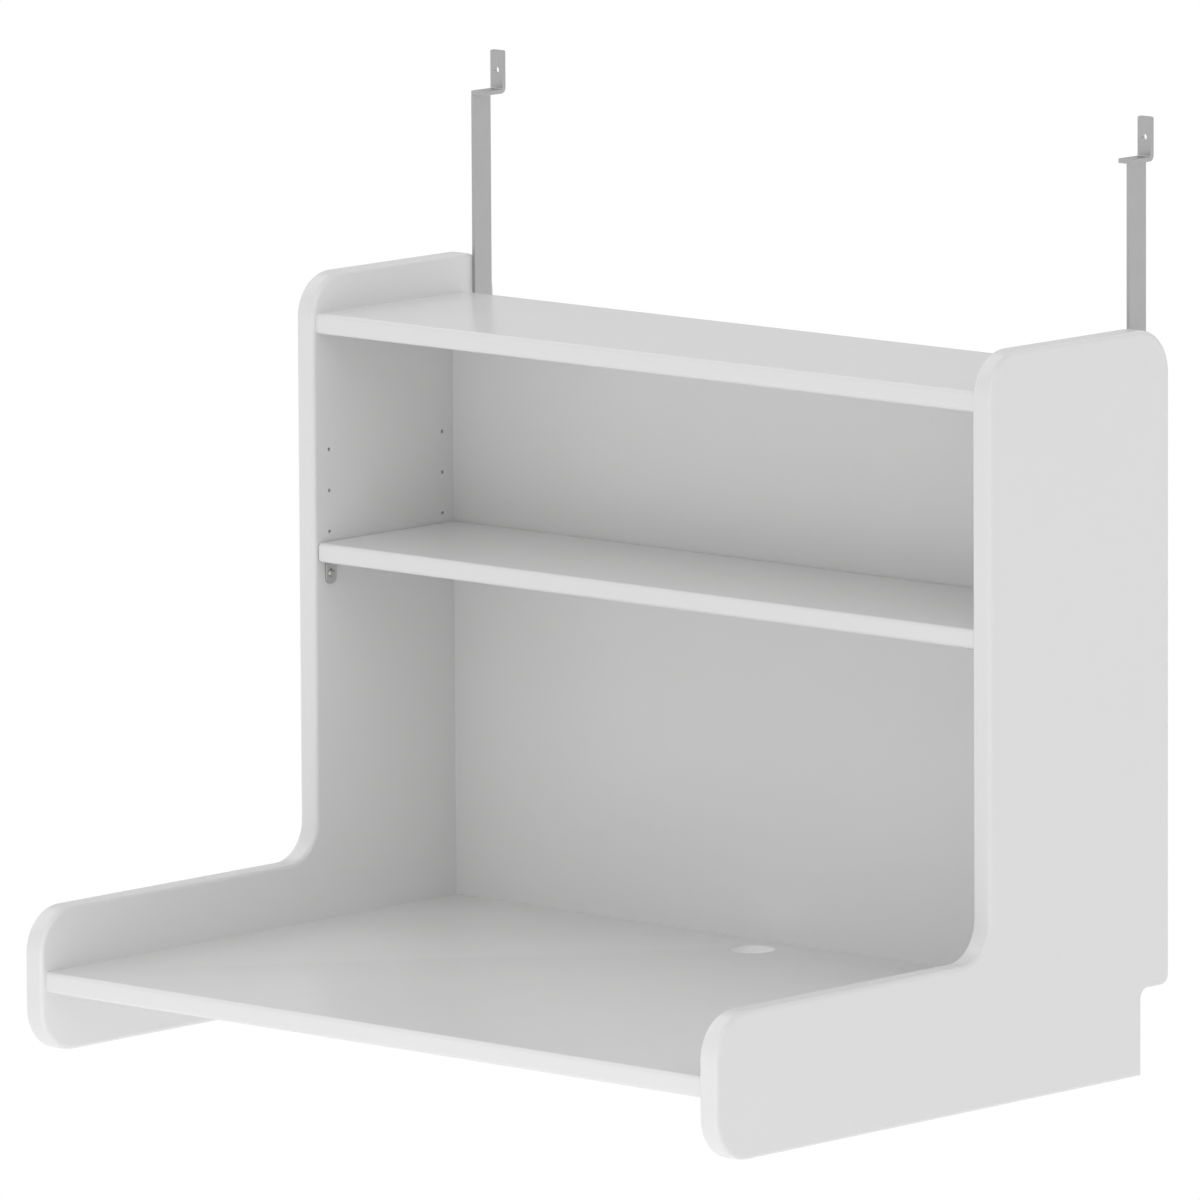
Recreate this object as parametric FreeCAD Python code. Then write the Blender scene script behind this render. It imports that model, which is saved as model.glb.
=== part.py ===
import FreeCAD, Part
import math
import os

# Desk and shelf unit that hangs on the side rail of a loft bed.
#
# Two L-shaped side panels carry a desk top, a back panel, a fixed top shelf and a lift-out shelf
# on four plug-in supports.  A steel hanger on each side panel rises above the unit and is screwed
# to the bed.  Millimetres, +X to the user's right, +Y towards the bed, +Z up.  The origin is at
# the middle of the footprint, level with the undersides of the side panels.

V = FreeCAD.Vector

# ---------------------------------------------------------------- driving dimensions
WIDTH = 706.0                # over the outer faces of the side panels
DEPTH = 511.0                # front of the arms to the rear edges of the side panels
PANEL_HEIGHT = 566.0         # side panels, bottom to top
PANEL_T = 18.0
BOARD_T = 16.0               # desk top and top shelf
LOOSE_SHELF_T = 15.0
BACK_T = 12.0
EDGE_ROUND = 3.5             # rounding of the side panels' long edges
BOARD_ROUND = 3.0            # rounding of the boards' front edges

UPRIGHT_DEPTH = 206.0        # upper part of a side panel, front to rear
ARM_HEIGHT = 111.0           # lower part of a side panel, which carries the desk top
CORNER_R = 34.5              # outer corners of a side panel
ARM_BEND_R = 30.0            # inner corner between arm and upright
NOTCH_DEPTH = 32.0           # rear lower notch of a side panel
NOTCH_HEIGHT = 66.0
NOTCH_R = 8.0

DESK_TOP_Z = 63.5            # upper face of the desk top
TOP_SHELF_BELOW = 29.5       # upper face of the top shelf below the tops of the side panels
BOARDS_BEFORE_NOTCH = 4.5    # rear edges of the boards in front of the notch
DESK_SETBACK = 4.5           # desk front behind the front of the arms
SHELF_SETBACK = 3.5          # shelf fronts behind the fronts of the uprights
REBATE_DEPTH = 3.0           # step along the desk's rear edge, in which the back panel stands

CABLE_HOLE_R = 17.5
CABLE_HOLE_X = 4.0           # right of the middle
CABLE_HOLE_TO_BACK = 33.0    # hole's middle to the face of the back panel
CABLE_HOLE_ROUND = 1.5

# shelf supports: rows of holes on a 32 mm pitch
PIN_PITCH = 32.0
PIN_ROWS = 4
PIN_FRONT_INSET = 17.0       # front column behind the front of the upright
PIN_REAR_INSET = 12.5        # rear column in front of the back panel
PIN_LAST_BELOW = 107.0       # highest row below the upper face of the top shelf
PIN_R = 1.5
PIN_LENGTH = PANEL_T / 2.0   # in the panel
PIN_HOLE_SPARE = 2.0         # hole deeper than the pin
PIN_END_CHAMFER = 0.6
SHELF_RISE = 9.5             # underside of the shelf above the middle of the support's pin
SHELF_SIDE_GAP = 1.0         # loose shelf to side panel
SHELF_BACK_GAP = 1.0         # loose shelf to back panel
SUPPORT_PLATE_T = 1.5
SUPPORT_PLATE_W = 11.5
SUPPORT_PLATE_BELOW = 8.5    # plate's round end below the middle of the pin
SUPPORT_TONGUE_L = 14.0
SUPPORT_BEND_R = 0.7
LEG_END_RATIO = 0.85         # rounding of the leg's end to half its width

# hangers
STRAP_T = 3.0
STRAP_W = 19.0
STRAP_BELOW = 130.0          # strap below the top of the side panel
HOOK_T = 3.5
HOOK_W = 13.0
HOOK_DEPTH = 25.5            # front of the ledge to the back of the tab
HOOK_RISE = 123.0            # underside of the ledge above the side panel
HOOK_H = 33.5                # underside of the ledge to the top of the tab
HOOK_BEND_R = 4.5            # outside of the bend
HOOK_TIP_R = 1.5
HOOK_HOLE_R = 2.5
HOOK_HOLE_BELOW = 15.5       # hole below the top of the tab
RIGHT_HOOK_INSET = 11.0      # right hook's left edge from the right panel's inner face

# hanger screws
SCREW_R = 2.0
SCREW_HEAD_R = 4.0
SCREW_HEAD_H = 2.2
SCREW_IN_WOOD = PANEL_T - 5.0
SCREW_TIP = 2.5
TIP_RATIO = 0.3              # blunt point of a screw to its shank
DOME_RATIO = 0.6             # rounding of a screw head or cap to its height
SCREW_SOCKET_R = 1.2
SCREW_SOCKET_DEPTH = 1.3
SCREWS_PER_STRAP = 3
SCREW_END_MARGIN = 20.0      # first screw above the strap's lower end, last one below the shelf's top
STRAP_HOLE_GAP = 0.3

# knock-down fittings in the desk top and the top shelf
CAM_R = 7.5
CAM_H = BOARD_T - 3.5
CAM_FROM_END = 24.0
CAM_DRIVE_R = 2.0
CAM_DRIVE_DEPTH = 3.0
BOLT_THREAD_R = 2.5
BOLT_THREAD_L = PANEL_T - 7.0
BOLT_SHANK_R = 3.0
BOLT_BORE_R = 4.0
BOLT_NECK_R = 1.7
BOLT_NECK_L = 3.5
BOLT_HEAD_L = 3.0
CAP_R = 8.5
CAP_T = 1.0
CAP_STUB_L = 2.0
DOWEL_R = 4.0
DOWEL_L = 30.0
DOWEL_IN_PANEL = PANEL_T - 7.0
THIN_DOWEL_R = 3.0
THIN_DOWEL_L = 24.0
THIN_DOWEL_IN_PANEL = BOARD_T / 2.0
HOLE_END_GAP = 1.0           # every blind hole is this much deeper than what goes in it
FIT = 0.05                   # radial clearance of a fitted pin, dowel or bolt

DESK_CAM_MARGINS = (70.0, 110.0)       # from the desk's front and rear edges
SHELF_CAM_MARGINS = (35.0, 35.0)       # from the top shelf's front and rear edges
BACK_DOWEL_ROWS = 3

# ---------------------------------------------------------------- derived places
LEFT = -WIDTH / 2.0
RIGHT = WIDTH / 2.0
FRONT = -DEPTH / 2.0
REAR = DEPTH / 2.0
INNER_LEFT = LEFT + PANEL_T
INNER_RIGHT = RIGHT - PANEL_T
INNER_WIDTH = INNER_RIGHT - INNER_LEFT
UPRIGHT_FRONT = REAR - UPRIGHT_DEPTH
BOARD_REAR = REAR - NOTCH_DEPTH - BOARDS_BEFORE_NOTCH
BACK_FACE = BOARD_REAR - BACK_T
BACK_MIDDLE = BOARD_REAR - BACK_T / 2.0
DESK_FRONT = FRONT + DESK_SETBACK
DESK_UNDER_Z = DESK_TOP_Z - BOARD_T
BACK_LOW_Z = DESK_TOP_Z - REBATE_DEPTH
SHELF_FRONT = UPRIGHT_FRONT + SHELF_SETBACK
TOP_SHELF_Z = PANEL_HEIGHT - TOP_SHELF_BELOW
TOP_SHELF_UNDER_Z = TOP_SHELF_Z - BOARD_T
PIN_FIRST_Z = TOP_SHELF_Z - PIN_LAST_BELOW - (PIN_ROWS - 1) * PIN_PITCH
LOOSE_SHELF_UNDER_Z = PIN_FIRST_Z + SHELF_RISE
PIN_FRONT_Y = UPRIGHT_FRONT + PIN_FRONT_INSET
PIN_REAR_Y = BACK_FACE - PIN_REAR_INSET
HOOK_FRONT = REAR - HOOK_DEPTH
STRAP_MIDDLE_Y = HOOK_FRONT + STRAP_W / 2.0
STRAP_LOW_Z = PANEL_HEIGHT - STRAP_BELOW
HOOK_UNDER_Z = PANEL_HEIGHT + HOOK_RISE
HOOK_TOP_Z = HOOK_UNDER_Z + HOOK_H
HOOK_HOLE_Z = HOOK_TOP_Z - HOOK_HOLE_BELOW

os.makedirs("parts", exist_ok=True)


def save(node, shape):
    shape.exportStep("parts/" + node + ".step")


def box(x0, y0, z0, x1, y1, z1):
    return Part.makeBox(x1 - x0, y1 - y0, z1 - z0, V(x0, y0, z0))


def rod_x(x0, x1, y, z, r):
    """A cylinder along X between two values of x."""
    low = min(x0, x1)
    return Part.makeCylinder(r, abs(x1 - x0), V(low, y, z), V(1, 0, 0))


def rod_z(z0, z1, x, y, r):
    low = min(z0, z1)
    return Part.makeCylinder(r, abs(z1 - z0), V(x, y, low), V(0, 0, 1))


def pointed_rod_x(x_blunt, x_tip, y, z, r, tip):
    """A cylinder along X whose far end narrows to a short cone."""
    way = 1.0 if x_tip > x_blunt else -1.0
    body = rod_x(x_blunt, x_tip - way * tip, y, z, r)
    cone = Part.makeCone(r, r * TIP_RATIO, tip, V(x_tip - way * tip, y, z), V(way, 0, 0))
    return body.fuse(cone).removeSplitter()


def rounded_polygon(corners, x):
    """Closed wire in the plane at x, through (y, z, radius) corners with their arcs."""
    count = len(corners)
    edges = []
    ends = []
    for i in range(count):
        here = V(x, corners[i][0], corners[i][1])
        before = V(x, corners[i - 1][0], corners[i - 1][1])
        after = V(x, corners[(i + 1) % count][0], corners[(i + 1) % count][1])
        r = corners[i][2]
        if r <= 0:
            ends.append((here, here))
            continue
        to_before = (before - here).normalize()
        to_after = (after - here).normalize()
        half = to_before.getAngle(to_after) / 2.0
        reach = r / math.tan(half)
        start = here + to_before * reach
        end = here + to_after * reach
        middle_way = (to_before + to_after).normalize()
        centre = here + middle_way * (reach ** 2 + r ** 2) ** 0.5
        edges.append(Part.Arc(start, centre - middle_way * r, end).toShape())
        ends.append((start, end))
    for i in range(count):
        a = ends[i][1]
        b = ends[(i + 1) % count][0]
        if (b - a).Length > 1e-6:
            edges.append(Part.makeLine(a, b))
    return Part.Wire(Part.__sortEdges__(edges))


def side_panel():
    """The left side panel: an L with an arm in front, bored on its inner face."""
    corners = [
        (FRONT, 0.0, CORNER_R),
        (REAR - NOTCH_DEPTH, 0.0, 0.0),
        (REAR - NOTCH_DEPTH, NOTCH_HEIGHT, NOTCH_R),
        (REAR, NOTCH_HEIGHT, NOTCH_R),
        (REAR, PANEL_HEIGHT, CORNER_R),
        (UPRIGHT_FRONT, PANEL_HEIGHT, CORNER_R),
        (UPRIGHT_FRONT, ARM_HEIGHT, ARM_BEND_R),
        (FRONT, ARM_HEIGHT, CORNER_R),
    ]
    face = Part.Face(rounded_polygon(corners, LEFT))
    panel = face.extrude(V(PANEL_T, 0, 0))
    long_edges = []
    for e in panel.Edges:
        b = e.BoundBox
        if b.XLength < 1e-6:
            long_edges.append(e)
    panel = panel.makeFillet(EDGE_ROUND, long_edges)
    holes = []
    for y in (PIN_FRONT_Y, PIN_REAR_Y):
        for row in range(PIN_ROWS):
            z = PIN_FIRST_Z + row * PIN_PITCH
            holes.append(rod_x(INNER_LEFT + 1, INNER_LEFT - PIN_LENGTH - PIN_HOLE_SPARE, y, z, PIN_R + FIT))
    for y, z in fitting_places(cam_depths):
        holes.append(rod_x(INNER_LEFT + 1, INNER_LEFT - BOLT_THREAD_L - HOLE_END_GAP, y, z,
                           BOLT_THREAD_R + FIT))
    for y, z in fitting_places(dowel_depths):
        holes.append(rod_x(INNER_LEFT + 1, INNER_LEFT - DOWEL_IN_PANEL - HOLE_END_GAP, y, z,
                           DOWEL_R + FIT))
    for z in back_dowel_heights():
        holes.append(rod_x(INNER_LEFT + 1, INNER_LEFT - THIN_DOWEL_IN_PANEL - HOLE_END_GAP,
                           BACK_MIDDLE, z, THIN_DOWEL_R + FIT))
    for z in strap_screw_heights():
        holes.append(rod_x(INNER_LEFT + 1, INNER_LEFT - SCREW_IN_WOOD - HOLE_END_GAP,
                           STRAP_MIDDLE_Y, z, SCREW_R + FIT))
    return panel.cut(Part.makeCompound(holes))


def cam_depths(y_front, margins):
    """Depths of a board's two cam locks, from its front and its rear edge."""
    return (y_front + margins[0], BOARD_REAR - margins[1])


def dowel_depths(y_front, margins):
    """Depths of a board's two dowels, sharing out the space between its cam locks."""
    front, rear = cam_depths(y_front, margins)
    third = (rear - front) / 3.0
    return (front + third, rear - third)


def fitting_places(depths):
    """Depth and height of the same fitting of both boards, in one side panel."""
    desk = [(y, DESK_TOP_Z - BOARD_T / 2.0) for y in depths(DESK_FRONT, DESK_CAM_MARGINS)]
    shelf = [(y, TOP_SHELF_Z - BOARD_T / 2.0) for y in depths(SHELF_FRONT, SHELF_CAM_MARGINS)]
    return desk + shelf


def back_dowel_heights():
    """Heights of the thin dowels between back panel and side panel, evenly shared."""
    step = (TOP_SHELF_UNDER_Z - DESK_TOP_Z) / (BACK_DOWEL_ROWS + 1.0)
    return [DESK_TOP_Z + step * (i + 1) for i in range(BACK_DOWEL_ROWS)]


def back_dowel_columns():
    """Places along the back panel's upper and lower edges for its upright dowels."""
    step = INNER_WIDTH / (BACK_DOWEL_ROWS + 1.0)
    return [INNER_LEFT + step * (i + 1) for i in range(BACK_DOWEL_ROWS)]


def strap_screw_heights():
    low = STRAP_LOW_Z + SCREW_END_MARGIN
    high = TOP_SHELF_Z - SCREW_END_MARGIN
    step = (high - low) / (SCREWS_PER_STRAP - 1.0)
    return [low + step * i for i in range(SCREWS_PER_STRAP)]


def mirrored(shape):
    return shape.mirror(V(0, 0, 0), V(1, 0, 0))


def both_sides(solids):
    """The solids and their mirror images across the middle, as one group."""
    return Part.makeCompound(list(solids) + [mirrored(s) for s in solids])


def round_front(board, y_front, r):
    """Rounds the two long front edges of a board."""
    edges = []
    for e in board.Edges:
        b = e.BoundBox
        along_x = b.XLength > INNER_WIDTH / 2.0
        if along_x and abs(b.YMin - y_front) < 1e-6 and b.YLength < 1e-6:
            edges.append(e)
    return board.makeFillet(r, edges)


def bored_board(y_front, z_top, margins):
    """A board between the side panels with the borings for its fittings at both ends."""
    z_under = z_top - BOARD_T
    z_mid = z_top - BOARD_T / 2.0
    board = box(INNER_LEFT, y_front, z_under, INNER_RIGHT, BOARD_REAR, z_top)
    board = round_front(board, y_front, BOARD_ROUND)
    bores = []
    for y in cam_depths(y_front, margins):
        x = INNER_LEFT + CAM_FROM_END
        bores.append(rod_z(z_under - 1, z_under + CAM_H + HOLE_END_GAP, x, y, CAM_R + FIT))
        bores.append(rod_x(INNER_LEFT - 1, x, y, z_mid, BOLT_BORE_R))
    for y in dowel_depths(y_front, margins):
        depth = DOWEL_L - DOWEL_IN_PANEL + HOLE_END_GAP
        bores.append(rod_x(INNER_LEFT - 1, INNER_LEFT + depth, y, z_mid, DOWEL_R + FIT))
    return board.cut(both_sides(bores))


def cam_lock(y, z_top):
    """A round cam lock in the underside of a board, open towards its bolt's head."""
    x = INNER_LEFT + CAM_FROM_END
    z_under = z_top - BOARD_T
    z_mid = z_top - BOARD_T / 2.0
    lock = rod_z(z_under, z_under + CAM_H, x, y, CAM_R)
    lock = lock.cut(rod_x(x - CAM_R - 1, x + BOLT_HEAD_L, y, z_mid, BOLT_BORE_R))
    lock = lock.cut(rod_z(z_under - 1, z_under + CAM_DRIVE_DEPTH, x, y, CAM_DRIVE_R))
    return lock


def cam_bolt(y, z_top):
    """A bolt screwed into the side panel, with a neck and a head inside the cam lock."""
    z = z_top - BOARD_T / 2.0
    x_head = INNER_LEFT + CAM_FROM_END + BOLT_HEAD_L / 2.0
    x_neck = x_head - BOLT_HEAD_L
    x_shank = x_neck - BOLT_NECK_L
    thread = rod_x(INNER_LEFT - BOLT_THREAD_L, INNER_LEFT, y, z, BOLT_THREAD_R)
    shank = rod_x(INNER_LEFT, x_shank, y, z, BOLT_SHANK_R)
    neck = rod_x(x_shank, x_neck, y, z, BOLT_NECK_R)
    head = rod_x(x_neck, x_head, y, z, BOLT_SHANK_R)
    return thread.fuse([shank, neck, head]).removeSplitter()


def cam_cap(y, z_top):
    """A thin cap over a cam lock, with a stub in the lock's drive hole."""
    x = INNER_LEFT + CAM_FROM_END
    z_under = z_top - BOARD_T
    disc = rod_z(z_under - CAP_T, z_under, x, y, CAP_R)
    rim = [e for e in disc.Edges if e.BoundBox.ZMax < z_under - CAP_T + 1e-6]
    disc = disc.makeFillet(CAP_T * DOME_RATIO, rim)
    stub = rod_z(z_under, z_under + CAP_STUB_L, x, y, CAM_DRIVE_R - FIT)
    return disc.fuse(stub).removeSplitter()


def dowel_x(y, z, r, length, in_panel):
    return rod_x(INNER_LEFT - in_panel, INNER_LEFT - in_panel + length, y, z, r)


# ---------------------------------------------------------------- side panels
left_panel = side_panel()
save("left_side_panel", left_panel)
save("right_side_panel", mirrored(left_panel))

# ---------------------------------------------------------------- desk top
desk = bored_board(DESK_FRONT, DESK_TOP_Z, DESK_CAM_MARGINS)
desk = desk.cut(box(INNER_LEFT - 1, BACK_FACE, BACK_LOW_Z, INNER_RIGHT + 1, BOARD_REAR + 1,
                    DESK_TOP_Z + 1))
cable_y = BACK_FACE - CABLE_HOLE_TO_BACK
desk = desk.cut(rod_z(DESK_UNDER_Z - 1, DESK_TOP_Z + 1, CABLE_HOLE_X, cable_y, CABLE_HOLE_R))
rim = []
for e in desk.Edges:
    b = e.BoundBox
    flat = b.ZLength < 1e-6 and abs(b.ZMin - DESK_TOP_Z) < 1e-6
    round_hole = abs(b.XLength - 2 * CABLE_HOLE_R) < 1e-3 and abs(b.YLength - 2 * CABLE_HOLE_R) < 1e-3
    if flat and round_hole:
        rim.append(e)
desk = desk.makeFillet(CABLE_HOLE_ROUND, rim)
upright_dowels = []
for x in back_dowel_columns():
    for z_edge, way in ((BACK_LOW_Z, -1.0), (TOP_SHELF_UNDER_Z, 1.0)):
        z_board = z_edge + way * THIN_DOWEL_IN_PANEL
        upright_dowels.append(rod_z(z_board, z_board - way * THIN_DOWEL_L, x, BACK_MIDDLE,
                                    THIN_DOWEL_R))
        hole = rod_z(z_edge - way, z_board + way * HOLE_END_GAP, x, BACK_MIDDLE,
                     THIN_DOWEL_R + FIT)
        if way < 0:
            desk = desk.cut(hole)
save("desk_top", desk)

# ---------------------------------------------------------------- top shelf
shelf = bored_board(SHELF_FRONT, TOP_SHELF_Z, SHELF_CAM_MARGINS)
for x in back_dowel_columns():
    shelf = shelf.cut(rod_z(TOP_SHELF_UNDER_Z - 1, TOP_SHELF_UNDER_Z + THIN_DOWEL_IN_PANEL
                            + HOLE_END_GAP, x, BACK_MIDDLE, THIN_DOWEL_R + FIT))
save("top_shelf", shelf)

# ---------------------------------------------------------------- back panel
back = box(INNER_LEFT, BACK_FACE, BACK_LOW_Z, INNER_RIGHT, BOARD_REAR, TOP_SHELF_UNDER_Z)
thin_depth = THIN_DOWEL_L - THIN_DOWEL_IN_PANEL + HOLE_END_GAP
edge_bores = []
side_dowels = []
for z in back_dowel_heights():
    edge_bores.append(rod_x(INNER_LEFT - 1, INNER_LEFT + thin_depth, BACK_MIDDLE, z,
                            THIN_DOWEL_R + FIT))
    side_dowels.append(dowel_x(BACK_MIDDLE, z, THIN_DOWEL_R, THIN_DOWEL_L, THIN_DOWEL_IN_PANEL))
back = back.cut(both_sides(edge_bores))
for x in back_dowel_columns():
    back = back.cut(rod_z(BACK_LOW_Z - 1, BACK_LOW_Z + thin_depth, x, BACK_MIDDLE,
                          THIN_DOWEL_R + FIT))
    back = back.cut(rod_z(TOP_SHELF_UNDER_Z + 1, TOP_SHELF_UNDER_Z - thin_depth, x, BACK_MIDDLE,
                          THIN_DOWEL_R + FIT))
save("back_panel", back)
save("back_panel_side_dowels", both_sides(side_dowels))
save("back_panel_upright_dowels", Part.makeCompound(upright_dowels))

# ---------------------------------------------------------------- loose shelf
loose = box(INNER_LEFT + SHELF_SIDE_GAP, SHELF_FRONT, LOOSE_SHELF_UNDER_Z,
            INNER_RIGHT - SHELF_SIDE_GAP, BACK_FACE - SHELF_BACK_GAP,
            LOOSE_SHELF_UNDER_Z + LOOSE_SHELF_T)
loose = round_front(loose, SHELF_FRONT, BOARD_ROUND)
save("adjustable_shelf", loose)

# ---------------------------------------------------------------- fittings of the two boards
for name, z_top, y_front, margins in (
        ("desk_top", DESK_TOP_Z, DESK_FRONT, DESK_CAM_MARGINS),
        ("top_shelf", TOP_SHELF_Z, SHELF_FRONT, SHELF_CAM_MARGINS)):
    z_mid = z_top - BOARD_T / 2.0
    cams = cam_depths(y_front, margins)
    dowels = dowel_depths(y_front, margins)
    save(name + "_cam_locks", both_sides([cam_lock(y, z_top) for y in cams]))
    save(name + "_cam_bolts", both_sides([cam_bolt(y, z_top) for y in cams]))
    save(name + "_cam_caps", both_sides([cam_cap(y, z_top) for y in cams]))
    save(name + "_dowels", both_sides([dowel_x(y, z_mid, DOWEL_R, DOWEL_L, DOWEL_IN_PANEL)
                                       for y in dowels]))


# ---------------------------------------------------------------- shelf supports
def support_plate(y):
    """Angle plate on the left: a round-ended leg on the panel and a tongue under the shelf."""
    z_pin = PIN_FIRST_Z
    x_back = INNER_LEFT
    half = SUPPORT_PLATE_W / 2.0
    leg = box(x_back, y - half, z_pin, x_back + SUPPORT_PLATE_T, y + half, LOOSE_SHELF_UNDER_Z)
    z_low = z_pin - SUPPORT_PLATE_BELOW
    low = box(x_back, y - half, z_low, x_back + SUPPORT_PLATE_T, y + half, z_pin)
    lower_edges = []
    for e in low.Edges:
        b = e.BoundBox
        if b.XLength > SUPPORT_PLATE_T / 2.0 and b.ZMax < z_low + 1e-6:
            lower_edges.append(e)
    low = low.makeFillet(half * LEG_END_RATIO, lower_edges)
    tongue = box(x_back, y - half, LOOSE_SHELF_UNDER_Z - SUPPORT_PLATE_T,
                 x_back + SUPPORT_TONGUE_L, y + half, LOOSE_SHELF_UNDER_Z)
    plate = leg.fuse([low, tongue]).removeSplitter()
    inner_bend = []
    for e in plate.Edges:
        b = e.BoundBox
        at_bend = abs(b.XMin - x_back - SUPPORT_PLATE_T) < 1e-6 and b.XLength < 1e-6
        at_level = abs(b.ZMin - LOOSE_SHELF_UNDER_Z + SUPPORT_PLATE_T) < 1e-6 and b.ZLength < 1e-6
        if at_bend and at_level:
            inner_bend.append(e)
    plate = plate.makeFillet(SUPPORT_BEND_R, inner_bend)
    hole = rod_x(x_back - 1, x_back + SUPPORT_PLATE_T + 1, y, z_pin, PIN_R)
    return plate.cut(hole)


def support_pin(y):
    """The pin riveted in a support's plate, chamfered where it enters the side panel."""
    pin = rod_x(INNER_LEFT - PIN_LENGTH, INNER_LEFT + SUPPORT_PLATE_T, y, PIN_FIRST_Z, PIN_R)
    tip = [e for e in pin.Edges if e.BoundBox.XMax < INNER_LEFT - PIN_LENGTH + 1e-6]
    return pin.makeChamfer(PIN_END_CHAMFER, tip)


for depth_name, y in (("front", PIN_FRONT_Y), ("rear", PIN_REAR_Y)):
    plate = support_plate(y)
    pin = support_pin(y)
    save(depth_name + "_left_support_plate", plate)
    save(depth_name + "_left_support_pin", pin)
    save(depth_name + "_right_support_plate", mirrored(plate))
    save(depth_name + "_right_support_pin", mirrored(pin))

# ---------------------------------------------------------------- hangers
strap = box(INNER_LEFT, HOOK_FRONT, STRAP_LOW_Z, INNER_LEFT + STRAP_T, HOOK_FRONT + STRAP_W,
            HOOK_UNDER_Z)
for z in strap_screw_heights():
    strap = strap.cut(rod_x(INNER_LEFT - 1, INNER_LEFT + STRAP_T + 1, STRAP_MIDDLE_Y, z,
                            SCREW_R + STRAP_HOLE_GAP))
save("left_hanger_strap", strap)
save("right_hanger_strap", mirrored(strap))


def hook(x0):
    """An angle bent from flat steel: a level ledge and an upright tab with a screw hole."""
    ledge = box(x0, HOOK_FRONT, HOOK_UNDER_Z, x0 + HOOK_W, REAR, HOOK_UNDER_Z + HOOK_T)
    tab = box(x0, REAR - HOOK_T, HOOK_UNDER_Z, x0 + HOOK_W, REAR, HOOK_TOP_Z)
    angle = ledge.fuse(tab).removeSplitter()
    outside = [e for e in angle.Edges if e.BoundBox.XLength > HOOK_W / 2.0
               and abs(e.BoundBox.ZMax - HOOK_UNDER_Z) < 1e-6
               and abs(e.BoundBox.YMin - REAR) < 1e-6]
    angle = angle.makeFillet(HOOK_BEND_R, outside)
    inside = [e for e in angle.Edges if e.BoundBox.XLength > HOOK_W / 2.0
              and abs(e.BoundBox.ZMin - HOOK_UNDER_Z - HOOK_T) < 1e-6
              and abs(e.BoundBox.YMin - REAR + HOOK_T) < 1e-6]
    angle = angle.makeFillet(HOOK_BEND_R - HOOK_T, inside)
    upper = [e for e in angle.Edges if e.BoundBox.ZMin > HOOK_TOP_Z - 1e-6
             and e.BoundBox.XLength < 1e-6]
    angle = angle.makeFillet(HOOK_TIP_R, upper)
    hole = Part.makeCylinder(HOOK_HOLE_R, HOOK_T + 2, V(x0 + HOOK_W / 2.0, REAR - HOOK_T - 1,
                                                        HOOK_HOLE_Z), V(0, 1, 0))
    return angle.cut(hole)


save("left_hanger_hook", hook(INNER_LEFT))
save("right_hanger_hook", hook(INNER_RIGHT - RIGHT_HOOK_INSET))

screws = []
for z in strap_screw_heights():
    x_seat = INNER_LEFT + STRAP_T
    shank = pointed_rod_x(x_seat, INNER_LEFT - SCREW_IN_WOOD, STRAP_MIDDLE_Y, z, SCREW_R, SCREW_TIP)
    head = rod_x(x_seat, x_seat + SCREW_HEAD_H, STRAP_MIDDLE_Y, z, SCREW_HEAD_R)
    crown = [e for e in head.Edges if e.BoundBox.XMin > x_seat + SCREW_HEAD_H - 1e-6]
    head = head.makeFillet(SCREW_HEAD_H * DOME_RATIO, crown)
    screw = shank.fuse(head).removeSplitter()
    socket = rod_x(x_seat + SCREW_HEAD_H + 1, x_seat + SCREW_HEAD_H - SCREW_SOCKET_DEPTH,
                   STRAP_MIDDLE_Y, z, SCREW_SOCKET_R)
    screws.append(screw.cut(socket))
save("hanger_screws", both_sides(screws))
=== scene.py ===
# %% [markdown]
# # A hanging desk for a loft bed
#
# The real thing is a small piece of cabinet work: two L-shaped side panels, a desk top, a back
# panel, a fixed top shelf and a loose shelf, all of fibreboard with a white lacquer. Two steel
# hangers rise from the side panels and are screwed to the bed's rail.
# The sizes and places are already settled in the CAD model, so this lesson loads that model as a
# frame and never moves it. It adds what CAD does not have: finishes with depth, eased edges,
# worked screw heads, weld beads, light and a camera.

# %% Load the frame
import bmesh
import bpy
import numpy as np
from math import pi, radians
from mathutils import Matrix, Vector


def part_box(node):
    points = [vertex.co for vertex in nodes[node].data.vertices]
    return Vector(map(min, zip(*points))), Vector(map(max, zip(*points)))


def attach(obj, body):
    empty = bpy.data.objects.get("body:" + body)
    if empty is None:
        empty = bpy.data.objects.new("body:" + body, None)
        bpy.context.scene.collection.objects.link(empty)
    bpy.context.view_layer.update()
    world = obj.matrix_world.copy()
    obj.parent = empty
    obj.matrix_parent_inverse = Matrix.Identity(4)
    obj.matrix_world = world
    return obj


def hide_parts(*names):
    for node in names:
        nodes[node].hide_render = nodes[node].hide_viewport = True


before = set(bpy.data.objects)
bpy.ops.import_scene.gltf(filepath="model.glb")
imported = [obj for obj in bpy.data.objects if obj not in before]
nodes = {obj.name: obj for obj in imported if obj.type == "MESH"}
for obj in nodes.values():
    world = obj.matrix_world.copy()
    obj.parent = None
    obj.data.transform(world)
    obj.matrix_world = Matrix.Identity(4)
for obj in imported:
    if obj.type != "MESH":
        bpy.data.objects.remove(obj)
scene = bpy.context.scene
MM = 0.001
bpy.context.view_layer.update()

# %% [markdown]
# ## The camera
#
# A product shot of furniture is often taken from far away with a long lens, which keeps upright
# edges nearly parallel. The same view could be made with a short lens from near by, but then the
# front arm would look much larger than the back. Here the camera stands about 12 metres off, a
# little above the desk, and looks at its front right corner.
# A camera in Blender looks along its own -Z axis. So it is first tipped up from looking straight
# down, then turned round the upright axis, and last rolled a third of a degree about its lens.

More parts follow.
